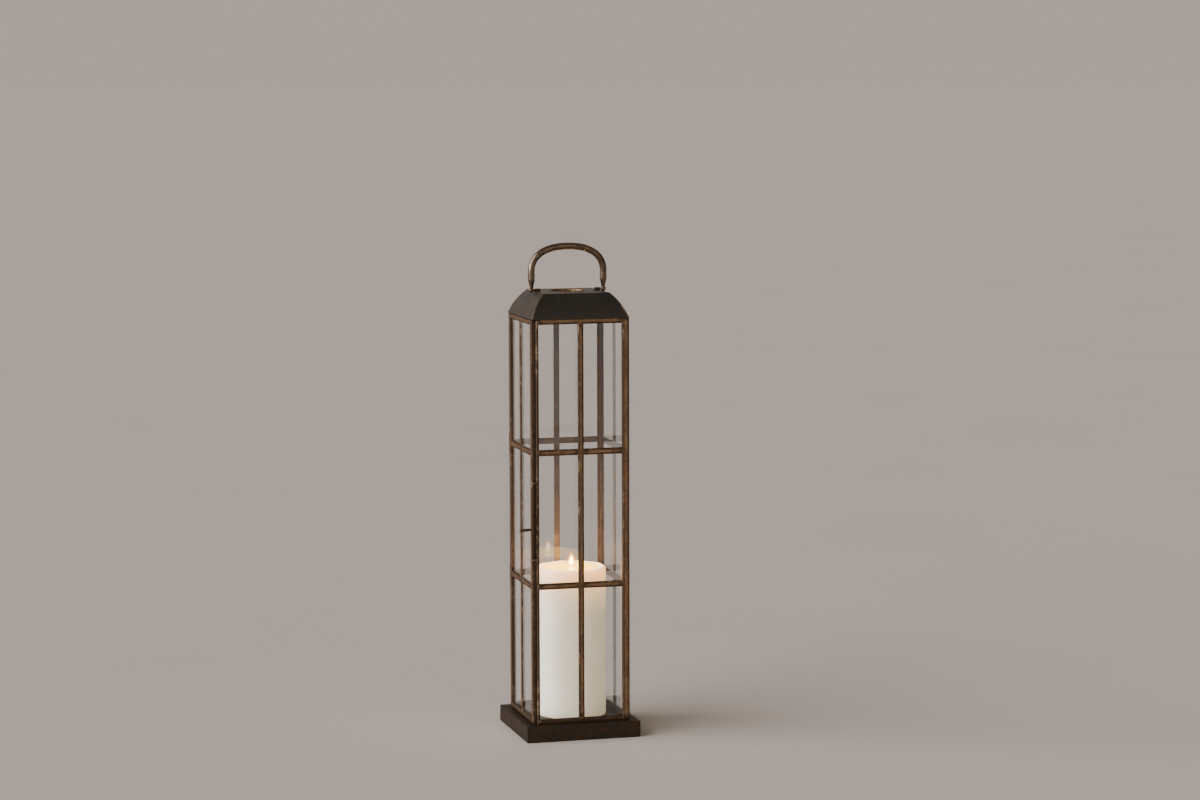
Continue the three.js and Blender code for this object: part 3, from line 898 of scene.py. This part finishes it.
def make_vent_collar():
    """The rim of the vent, turned down into the roof and browned by the heat of the flame."""
    top = span("roof_top_plate")[1].z
    form = bmesh.new()
    outer = VENT_RADIUS - COLLAR["gap"]
    inner = outer - COLLAR["wall"]
    outline = [
        (outer, -COLLAR["depth"]),
        (outer, COLLAR["shoulder"]),
        (outer - COLLAR["round"], COLLAR["top"]),
        (inner + COLLAR["round"], COLLAR["top"]),
        (inner, COLLAR["shoulder"]),
    ]
    outline += [(inner, -COLLAR["depth"] * k / 4) for k in (1, 2, 3, 4)]
    add_washer(form, outline, UP * top, sides=96, axis=UP)
    mark_edges(form, [])
    wobble(form, 0.12, 9)
    add_piece(form, "vent_collar", "lantern", AGED_BRASS)


def make_top_plate():
    """The flat top: a square plate with a round vent, its rim turned up a little."""
    half = span("roof_top_plate")[1].x
    top = span("roof_top_plate")[1].z
    form = bmesh.new()
    sides, rows = 96, 9
    rings = []
    profile = [(row / rows, 0.0) for row in range(rows + 1)]
    profile += [(row / rows, -TOP_SHEET) for row in range(rows, -1, -1)]
    for share, drop in profile:
        ring = []
        for i in range(sides):
            angle = 2 * math.pi * i / sides
            reach = half / max(abs(math.cos(angle)), abs(math.sin(angle)))
            radius = VENT_RADIUS + (reach - VENT_RADIUS) * share
            z = top + drop + VENT_LIP["rise"] * max(0, 1 - (radius - VENT_RADIUS) / VENT_LIP["width"])
            ring.append(form.verts.new(Vector((radius * math.cos(angle), radius * math.sin(angle), z))))
        rings.append(ring)
    skin(form, rings, closed=True)
    bmesh.ops.recalc_face_normals(form, faces=form.faces)
    points = edge_points(form)
    soften_edges(form, 0.2)
    mark_edges(form, points)
    wobble(form, 0.12, 18)
    add_piece(form, "roof_top_plate_fine", "lantern", ROOF_METAL, ["roof_top_plate"])


# ---- Handle ----


def smooth(share):
    share = min(max(share, 0), 1)
    return share * share * (3 - 2 * share)


def flatness(z, foot):
    """How flat the handle is beaten at a height: 0 in the round rod and 1 at the eye."""
    share = min(max((z - foot - FOOT_EYE) / (TAPER_TOP - foot - FOOT_EYE), 0), 1)
    return 1 - (share + smooth(share)) / 2


def handle_path():
    """Points up the left leg, over the bow and down the right leg, as (across, height)."""
    low, high = span("handle")
    rod = high.y
    half = (high.x - low.x) / 2 - rod
    rise = high.z - rod - SPRING_Z
    foot = low.z + FOOT_EYE
    leg = []
    start = foot + EYE_BORE + EYE_MARGIN
    steps = 26
    for i in range(steps):
        z = start + (SPRING_Z - start) * i / steps
        lean = 1 - flatness(z, foot)
        leg.append((-(FOOT_HALF + (half - FOOT_HALF) * lean), z))
    bow = []
    steps = 72
    power = 2 / HANDLE_SQUARENESS
    for i in range(steps + 1):
        angle = math.pi * (1 - i / steps)
        across = math.copysign(abs(math.cos(angle)) ** power, math.cos(angle))
        bow.append((half * across, SPRING_Z + rise * abs(math.sin(angle)) ** power))
    return leg + bow + [(-x, z) for x, z in reversed(leg)]


def add_handle_rod(form, middle, rod, foot):
    """The bent rod, which goes from round to a flat strap towards each foot."""
    sides = 28
    path = [Vector((middle + x, 0, z)) for x, z in handle_path()]
    rings = []
    for i, point in enumerate(path):
        ahead = path[min(i + 1, len(path) - 1)] - path[max(i - 1, 0)]
        inward = Vector((-ahead.z, 0, ahead.x)).normalized()
        flat = flatness(point.z, foot)
        thick = rod + (FOOT_THICKNESS / 2 - rod) * flat
        wide = rod + (FOOT_EYE - rod) * flat
        power = 1 - 0.45 * flat
        ring = []
        for k in range(sides):
            angle = 2 * math.pi * k / sides
            a = math.copysign(abs(math.cos(angle)) ** power, math.cos(angle)) * thick
            b = math.copysign(abs(math.sin(angle)) ** power, math.sin(angle)) * wide
            ring.append(form.verts.new(point + inward * a + Vector((0, b, 0))))
        rings.append(ring)
    skin(form, rings)
    form.faces.new(rings[0])
    form.faces.new(rings[-1])


def add_handle_eyes(form, middle, foot):
    """The round eye at each foot, with softened rims."""
    half = FOOT_THICKNESS / 2
    rim, bevel = 0.5, 0.2
    outline = [
        (EYE_BORE, -half + bevel),
        (EYE_BORE + bevel, -half),
        (FOOT_EYE - rim, -half),
        (FOOT_EYE - 0.3 * rim, -half + 0.5 * rim),
        (FOOT_EYE, -half + rim),
        (FOOT_EYE, half - rim),
        (FOOT_EYE - 0.3 * rim, half - 0.5 * rim),
        (FOOT_EYE - rim, half),
        (EYE_BORE + bevel, half),
        (EYE_BORE, half - bevel),
    ]
    for side in (-1, 1):
        centre = Vector((middle + side * FOOT_HALF, 0, foot))
        add_washer(form, outline, centre, sides=32, axis=Vector((1, 0, 0)))


def make_handle():
    low, high = span("handle")
    middle = (low.x + high.x) / 2
    foot = low.z + FOOT_EYE
    form = bmesh.new()
    add_handle_rod(form, middle, high.y, foot)
    add_handle_eyes(form, middle, foot)
    wobble(form, 0.07, 9)
    add_piece(form, "handle_fine", "handle", HANDLE_BRASS, ["handle"])
    make_handle_fixings(middle, foot)


def make_handle_fixings(middle, foot):
    """The saddle and the rivet at each foot."""
    for side, name in ((-1, "left"), (1, "right")):
        lug = f"handle_lug_{name}"
        rework(lug, DARK_METAL, "dark_metal", softness=0.3, steps=(2, 2, 2), unevenness=0.08, size=3)
        axis = Vector((side, 0, 0))
        low, high = span(f"handle_rivet_{name}")
        inner = min(abs(low.x - middle), abs(high.x - middle))
        outer = max(abs(low.x - middle), abs(high.x - middle))
        seat = outer - RIVET_RISE
        profile = [
            (0, inner),
            (RIVET_RADIUS - 0.2, inner),
            (RIVET_RADIUS, inner + 0.2),
            (RIVET_RADIUS, seat),
            (RIVET_HEAD - 0.15, seat),
            (RIVET_HEAD, seat + 0.15),
            (RIVET_HEAD - 0.1, seat + 0.45),
            (RIVET_HEAD * 0.75, seat + 0.85),
            (RIVET_HEAD * 0.4, outer - 0.08),
            (0, outer),
        ]
        form = bmesh.new()
        add_lathe(form, profile, Vector((middle, 0, foot)), sides=24, axis=axis)
        wobble(form, 0.03, 2)
        rivet = f"handle_rivet_{name}"
        add_piece(form, rivet + "_fine", "lantern", HANDLE_BRASS, [rivet])


# ---- Plinth ----


def make_plinth():
    rework("plinth_tray", DARK_METAL, "dark_metal", softness=0.9, steps=(9, 9, 5), unevenness=0.3, size=30)
    rework("base_plate", DARK_METAL, "dark_metal", softness=0.3, steps=(15, 15, 0), unevenness=0.1, size=30)
    form = bmesh.new()
    for i in range(4):
        spin = Quaternion(UP, i * math.pi / 2)
        corner = PLINTH_HALF - CORNER_BEAD
        steps, end = 14, 0.8
        heights = [end + (PLINTH_TOP - 2 * end) * step / steps for step in range(steps + 1)]
        path = [spin @ Vector((corner, -corner, z)) for z in heights]
        add_bead(form, path, CORNER_BEAD, 0.3, 4, Vector((i * 1.9, 4.1, 0.3)))
    add_piece(form, "plinth_corner_seams", "lantern", DARK_METAL)


# ---- Candle ----


def candle_profile(radius, bottom, top):
    """The pillar's [radius, height] outline, from the middle of its foot round to the well of the wick."""
    toe = bottom + 1.6
    points = [(0, bottom), (radius - 1.8, bottom), (radius - 0.5, bottom + 0.4), (radius, toe)]
    wall = 30
    points += [(radius, toe + (top - SHOULDER - toe) * i / wall) for i in range(1, wall + 1)]
    arc = 8
    for i in range(1, arc + 1):
        angle = i / arc * math.pi / 2
        inset, drop = SHOULDER * (1 - math.cos(angle)), SHOULDER * (1 - math.sin(angle))
        points.append((radius - inset, top - drop))
    slope = 12
    edge = radius - SHOULDER
    for i in range(1, slope + 1):
        share = i / slope
        drop = (top - POOL_Z + WELL_DEPTH) * smooth(share)
        points.append((edge + (POOL_RADIUS - 3 - edge) * share, top - drop))
    points += [(out, POOL_Z - WELL_DEPTH) for out in (20, 12, 6, 2.2)]
    points += [(1.2, POOL_Z - 1.3), (1.15, POOL_Z - 5), (0, POOL_Z - 5)]
    return points


def make_candle():
    low, high = span("candle")
    centre = Vector(((low.x + high.x) / 2, 0, 0))
    radius = (high.x - low.x) / 2
    form = bmesh.new()
    add_lathe(form, candle_profile(radius, low.z, high.z), centre, sides=128)
    for vert in form.verts:
        aside = Vector((vert.co.x - centre.x, vert.co.y, 0))
        if aside.length < POOL_RADIUS - 6:
            continue
        near_top = smooth((vert.co.z - high.z + 22) / 22)
        waver = noise.noise(Vector((aside.x / 22, aside.y / 22, vert.co.z / 60)))
        vert.co += aside.normalized() * waver * (0.25 + 0.35 * near_top)
        if vert.co.z > high.z - SHOULDER:
            vert.co.z -= 0.9 * abs(noise.noise(Vector((aside.x / 26, aside.y / 26, 3.3)))) * near_top
    add_piece(form, "candle_fine", "lantern", CANDLE_WAX, ["candle"])
    make_pool(centre)
    make_wick(centre)
    make_flame(centre)


def make_pool(centre):
    """The molten wax, which climbs a little at its edge and up the wick."""
    form = bmesh.new()
    reach = POOL_RADIUS + 0.6
    profile = [(reach * share, POOL_Z - POOL_DEPTH) for share in (0, 0.5, 0.9, 1.0)]
    steps = 24
    for i in range(steps):
        radius = reach * (1 - i / steps)
        climb = 0.35 * math.exp(-(reach - radius) / 1.2) + 0.8 * math.exp(-radius / 1.1)
        profile.append((radius, POOL_Z + climb))
    profile.append((0, POOL_Z + 0.8))
    add_lathe(form, profile, centre, sides=96)
    for vert in form.verts:
        aside = Vector((vert.co.x - centre.x, vert.co.y, 0))
        share = smooth(aside.length / reach)
        vert.co += aside * 0.05 * share * noise.noise(aside / 14)
    add_piece(form, "candle_pool", "lantern", MOLTEN_WAX)


def make_wick(centre):
    low, high = span("candle_wick")
    steps = 22
    path = []
    for i in range(steps + 1):
        share = i / steps
        bend = 1.6 * smooth((share - 0.5) / 0.5)
        path.append(Vector((centre.x + bend, 0.3 * bend, low.z + (high.z - low.z) * share)))
    form = bmesh.new()
    add_tube(form, path, lambda t: WICK_RADIUS * (1 if t < 0.8 else 1.05 - 0.5 * (t - 0.8) / 0.2), sides=14)
    wobble(form, 0.12, 0.8)
    add_piece(form, "candle_wick_fine", "lantern", CHARRED_WICK, ["candle_wick"])


def add_flame_shell(centre, name, scale, bottom, top, material):
    """A teardrop, widest a third of the way up, that leans a little."""
    form = bmesh.new()
    steps = 30
    profile = [(0, bottom)]
    for i in range(1, steps):
        share = i / steps
        width = math.sin(math.pi * share**0.62) ** 0.85 * (1 - 0.25 * share)
        profile.append((FLAME_RADIUS * scale * width, bottom + (top - bottom) * share))
    profile.append((0, top))
    add_lathe(form, profile, centre, sides=32)
    for vert in form.verts:
        share = (vert.co.z - bottom) / (top - bottom)
        vert.co.x += 0.9 * math.sin(2.2 * share)
    piece = add_piece(form, name, "lantern", material)
    piece.visible_shadow = False
    piece.visible_diffuse = False
    return piece


def make_flame(centre):
    """Four shells of flame, one inside the other."""
    heart = fire("flame_heart", GOLD, STRAW, STRAW, 200, 1.0)
    mantle = fire("flame_mantle", GOLD, GOLD, GOLD, 14, 0.5)
    veil = fire("flame_veil", AMBER, AMBER, GOLD, 4.5, 0.35)
    glow = fire("flame_glow", AMBER, AMBER, AMBER, 2.4, 0.16)
    add_flame_shell(centre, "flame_heart", 0.72, FLAME_BOTTOM + 1.2, FLAME_TOP - 2.6, heart)
    add_flame_shell(centre, "flame_mantle", 0.98, FLAME_BOTTOM + 0.3, FLAME_TOP - 0.8, mantle)
    add_flame_shell(centre, "flame_veil", 1.4, FLAME_BOTTOM - 0.3, FLAME_TOP + 1.5, veil)
    add_flame_shell(centre, "flame_glow", 2.3, FLAME_BOTTOM - 0.5, FLAME_TOP + 3.5, glow)


# ---- Stage ----


def add_flame_light():
    low, high = span("candle")
    data = bpy.data.lights.new("flame_light", "POINT")
    data.energy = FLAME_POWER
    data.color = FLAME_COLOUR
    data.shadow_soft_size = FLAME_RADIUS * MM
    light = bpy.data.objects.new("flame_light", data)
    light.location = Vector(((low.x + high.x) / 2, 0, (FLAME_BOTTOM + FLAME_TOP) / 2)) * MM
    light.visible_camera = False
    light.visible_glossy = False
    light.visible_transmission = False
    bpy.context.scene.collection.objects.link(light)


def add_key_light():
    data = bpy.data.lights.new("key_light", "SUN")
    data.energy = KEY_POWER
    data.color = KEY_COLOUR
    data.angle = math.radians(KEY_SPREAD)
    light = bpy.data.objects.new("key_light", data)
    light.location = KEY_FROM
    light.rotation_mode = "QUATERNION"
    light.rotation_quaternion = (-KEY_FROM).to_track_quat("-Z", "Y")
    bpy.context.scene.collection.objects.link(light)


def add_world():
    """A soft room of light, with a wall behind the lantern. What is seen of it, directly or through glass,
    is a plain surround."""
    world = bpy.data.worlds.new("pale_room")
    world.use_nodes = True
    tree = world.node_tree
    tree.nodes.clear()

    def made(kind, inputs, **settings):
        node = tree.nodes.new("ShaderNode" + kind)
        for name, value in settings.items():
            setattr(node, name, value)
        for name, value in inputs.items():
            if isinstance(value, bpy.types.NodeSocket):
                tree.links.new(value, node.inputs[name])
            else:
                node.inputs[name].default_value = value
        return node

    direction = made("TexCoord", {}).outputs["Generated"]
    across, forward, upward = made("SeparateXYZ", {0: direction}).outputs
    light = (*ROOM_COLOUR, 1)
    zones = (
        (forward, -0.1, 0.5, WALL_COLOUR),
        (across, 0.35, 0.8, DIM_COLOUR),
        (upward, 0.35, 0.8, CEILING_COLOUR),
    )
    for part, start, end, colour in zones:
        inputs = {"Value": part, "From Min": start, "From Max": end}
        share = made("MapRange", inputs, interpolation_type="SMOOTHSTEP").outputs[0]
        light = made("Mix", {0: share, 6: light, 7: (*colour, 1)}, data_type="RGBA").outputs[2]
    path = made("LightPath", {}).outputs
    inputs = {0: path["Is Camera Ray"], 1: path["Is Transmission Ray"]}
    seen = made("Math", inputs, operation="MAXIMUM").outputs[0]
    colour = made("Mix", {0: seen, 6: light, 7: (*BACKDROP, 1)}, data_type="RGBA").outputs[2]
    background = made("Background", {"Color": colour}).outputs[0]
    made("OutputWorld", {"Surface": background})
    bpy.context.scene.world = world


def add_floor():
    form = bmesh.new()
    bmesh.ops.create_circle(form, cap_ends=True, segments=96, radius=FLOOR_RADIUS)
    mesh = bpy.data.meshes.new("floor")
    form.to_mesh(mesh)
    form.free()
    mesh.materials.append(floor_material())
    floor = bpy.data.objects.new("floor", mesh)
    bpy.context.scene.collection.objects.link(floor)


def add_camera():
    azimuth, elevation = math.radians(CAMERA_AZIMUTH), math.radians(CAMERA_ELEVATION)
    aside, away = math.sin(azimuth) * math.cos(elevation), -math.cos(azimuth) * math.cos(elevation)
    back = Vector((aside, away, math.sin(elevation)))
    data = bpy.data.cameras.new("camera")
    data.lens = CAMERA_LENS
    data.clip_end = 2 * FLOOR_RADIUS
    camera = bpy.data.objects.new("camera", data)
    camera.location = CAMERA_AIM + back * CAMERA_DISTANCE
    camera.rotation_mode = "QUATERNION"
    roll = Quaternion((0, 0, 1), math.radians(CAMERA_ROLL))
    camera.rotation_quaternion = (-back).to_track_quat("-Z", "Y") @ roll
    bpy.context.scene.collection.objects.link(camera)
    bpy.context.scene.camera = camera


make_strips()
make_panes()
make_solder()
make_hinges()
make_latch()
make_roof()
make_handle()
make_plinth()
make_candle()

add_camera()
add_world()
add_key_light()
add_flame_light()
add_floor()
